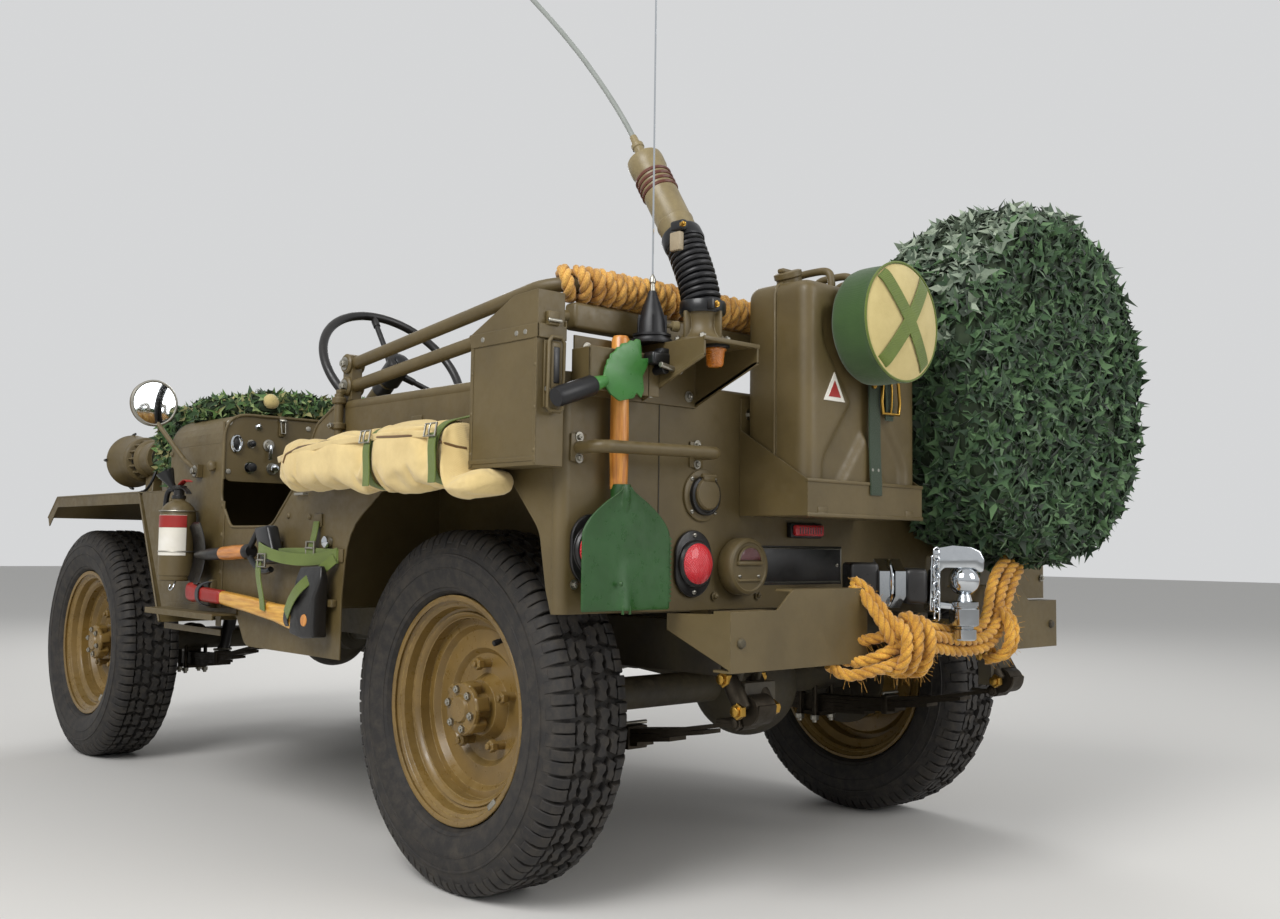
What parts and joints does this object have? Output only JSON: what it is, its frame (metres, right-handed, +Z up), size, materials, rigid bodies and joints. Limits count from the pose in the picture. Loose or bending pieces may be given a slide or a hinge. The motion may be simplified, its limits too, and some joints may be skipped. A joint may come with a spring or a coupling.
{
  "type": "light military 4x4 field car, open body",
  "caption": "Open light 4x4 field car with windscreen folded on the bonnet, radio masts, lashed tools, fuel can, bedroll and netted spare wheel.",
  "frame": {"origin": "on the ground, below the middle of the outline's length and width", "axes": "+X forward, +Y to the vehicle's left, +Z up"},
  "size_m": [3.306, 1.82, 2.3358],
  "materials": {
    "olive_paint": "satin olive drab paint",
    "chassis_paint": "dull olive drab paint, road dust",
    "rim_paint": "satin olive paint with a bronze tone",
    "tyre_rubber": "worn black tread rubber",
    "spring_steel": "oily dark steel",
    "engine_mass": "painted cast block",
    "glass": "clear flat pane",
    "chrome": "polished chrome",
    "canvas": "tan canvas",
    "seat_canvas": "olive canvas over padding",
    "net_cloth": "cut-leaf camouflage cloth",
    "manila": "twisted manila fibre",
    "yellow_rope": "twisted yellow rope",
    "green_paint": "semi-gloss green paint",
    "tool_wood": "varnished wood with painted heads",
    "aerial_rubber": "black coil and rubber over olive tube",
    "bag_cloth": "green canvas with a cream face",
    "black_plastic": "black semi-matte plastic",
    "lamp_set": "red lenses in black and olive bodies",
    "steel_black": "black painted steel"
  },
  "bodies": {
    "vehicle": {"rear_axle": "chassis_paint", "front_axle": "chassis_paint", "chassis_frame": "chassis_paint", "front_bumper": "olive_paint", "leaf_springs": "spring_steel", "tub_sides": "olive_paint", "rear_panel": "olive_paint", "wheel_houses": "olive_paint", "floor_pan": "olive_paint", "cowl": "olive_paint", "bonnet": "olive_paint", "grille": "olive_paint", "headlamps": "olive_paint", "front_wings": "olive_paint", "steps": "olive_paint", "powertrain": "engine_mass", "fuel_tank": "olive_paint", "propeller_shafts": "chassis_paint", "exhaust": "spring_steel", "seats": "seat_canvas", "steering_column": "olive_paint", "radio_box": "olive_paint", "top_bows": "olive_paint", "bow_rope": "manila", "aerial_bracket": "olive_paint", "aerials": "aerial_rubber", "grab_handle": "olive_paint", "rear_shovel": "green_paint", "folding_pick": "green_paint", "rear_lamps": "lamp_set", "number_plate": "steel_black", "can_tray": "olive_paint", "jerrycan": "olive_paint", "canteen_bag": "bag_cloth", "spare_wheel": "tyre_rubber", "spare_net": "net_cloth", "bumperettes": "olive_paint", "ball_hitch": "chrome", "tow_rope": "yellow_rope", "bedroll": "canvas", "side_tools": "tool_wood", "fire_extinguisher": "olive_paint", "siren": "olive_paint", "mirrors": "olive_paint", "net_heap": "net_cloth"},
    "wheel_front_left": {"wheel_front_left": "rim_paint", "tyre_front_left": "tyre_rubber"},
    "wheel_front_right": {"wheel_front_right": "rim_paint", "tyre_front_right": "tyre_rubber"},
    "wheel_rear_left": {"wheel_rear_left": "rim_paint", "tyre_rear_left": "tyre_rubber"},
    "wheel_rear_right": {"wheel_rear_right": "rim_paint", "tyre_rear_right": "tyre_rubber"},
    "knuckle_left": {"knuckle_left": "chassis_paint"},
    "knuckle_right": {"knuckle_right": "chassis_paint"},
    "steering_wheel": {"steering_wheel": "steel_black"},
    "windscreen": {"windscreen_frame": "olive_paint", "windscreen_glass": "glass"},
    "radio_lid": {"radio_lid": "olive_paint"}
  },
  "joints": [
    {"name": "steer_left", "type": "hinge", "parent": "vehicle", "child": "knuckle_left", "pos_m": [1.092, 0.47, 0.352], "axis": [0, 0, 1], "range_deg": [-26, 26]},
    {"name": "steer_right", "type": "hinge", "parent": "vehicle", "child": "knuckle_right", "pos_m": [1.092, -0.47, 0.352], "axis": [0, 0, 1], "range_deg": [-26, 26]},
    {"name": "steering_wheel_turn", "type": "hinge", "parent": "vehicle", "child": "steering_wheel", "pos_m": [-0.29, 0.45, 1.105], "axis": [-0.8176, 0, 0.5758], "range_deg": [-365, 365]},
    {"name": "spin_front_left", "type": "hinge", "parent": "knuckle_left", "child": "wheel_front_left", "pos_m": [1.092, 0.622, 0.352], "axis": [0, 1, 0], "continuous": true},
    {"name": "spin_front_right", "type": "hinge", "parent": "knuckle_right", "child": "wheel_front_right", "pos_m": [1.092, -0.622, 0.352], "axis": [0, 1, 0], "continuous": true},
    {"name": "spin_rear_left", "type": "hinge", "parent": "vehicle", "child": "wheel_rear_left", "pos_m": [-0.94, 0.622, 0.352], "axis": [0, 1, 0], "continuous": true},
    {"name": "spin_rear_right", "type": "hinge", "parent": "vehicle", "child": "wheel_rear_right", "pos_m": [-0.94, -0.622, 0.352], "axis": [0, 1, 0], "continuous": true},
    {"name": "windscreen_fold", "type": "hinge", "parent": "vehicle", "child": "windscreen", "pos_m": [0.14, 0, 1.012], "axis": [0, -1, 0], "range_deg": [0, 95]},
    {"name": "radio_lid_hinge", "type": "hinge", "parent": "vehicle", "child": "radio_lid", "pos_m": [-1.197, 0.8235, 1.037], "axis": [0, 1, 0], "range_deg": [0, 105]}
  ],
  "couplings": [
    {"joint": "steer_right", "follows": "steer_left", "ratio": 1},
    {"joint": "steering_wheel_turn", "follows": "steer_left", "ratio": 14}
  ]
}
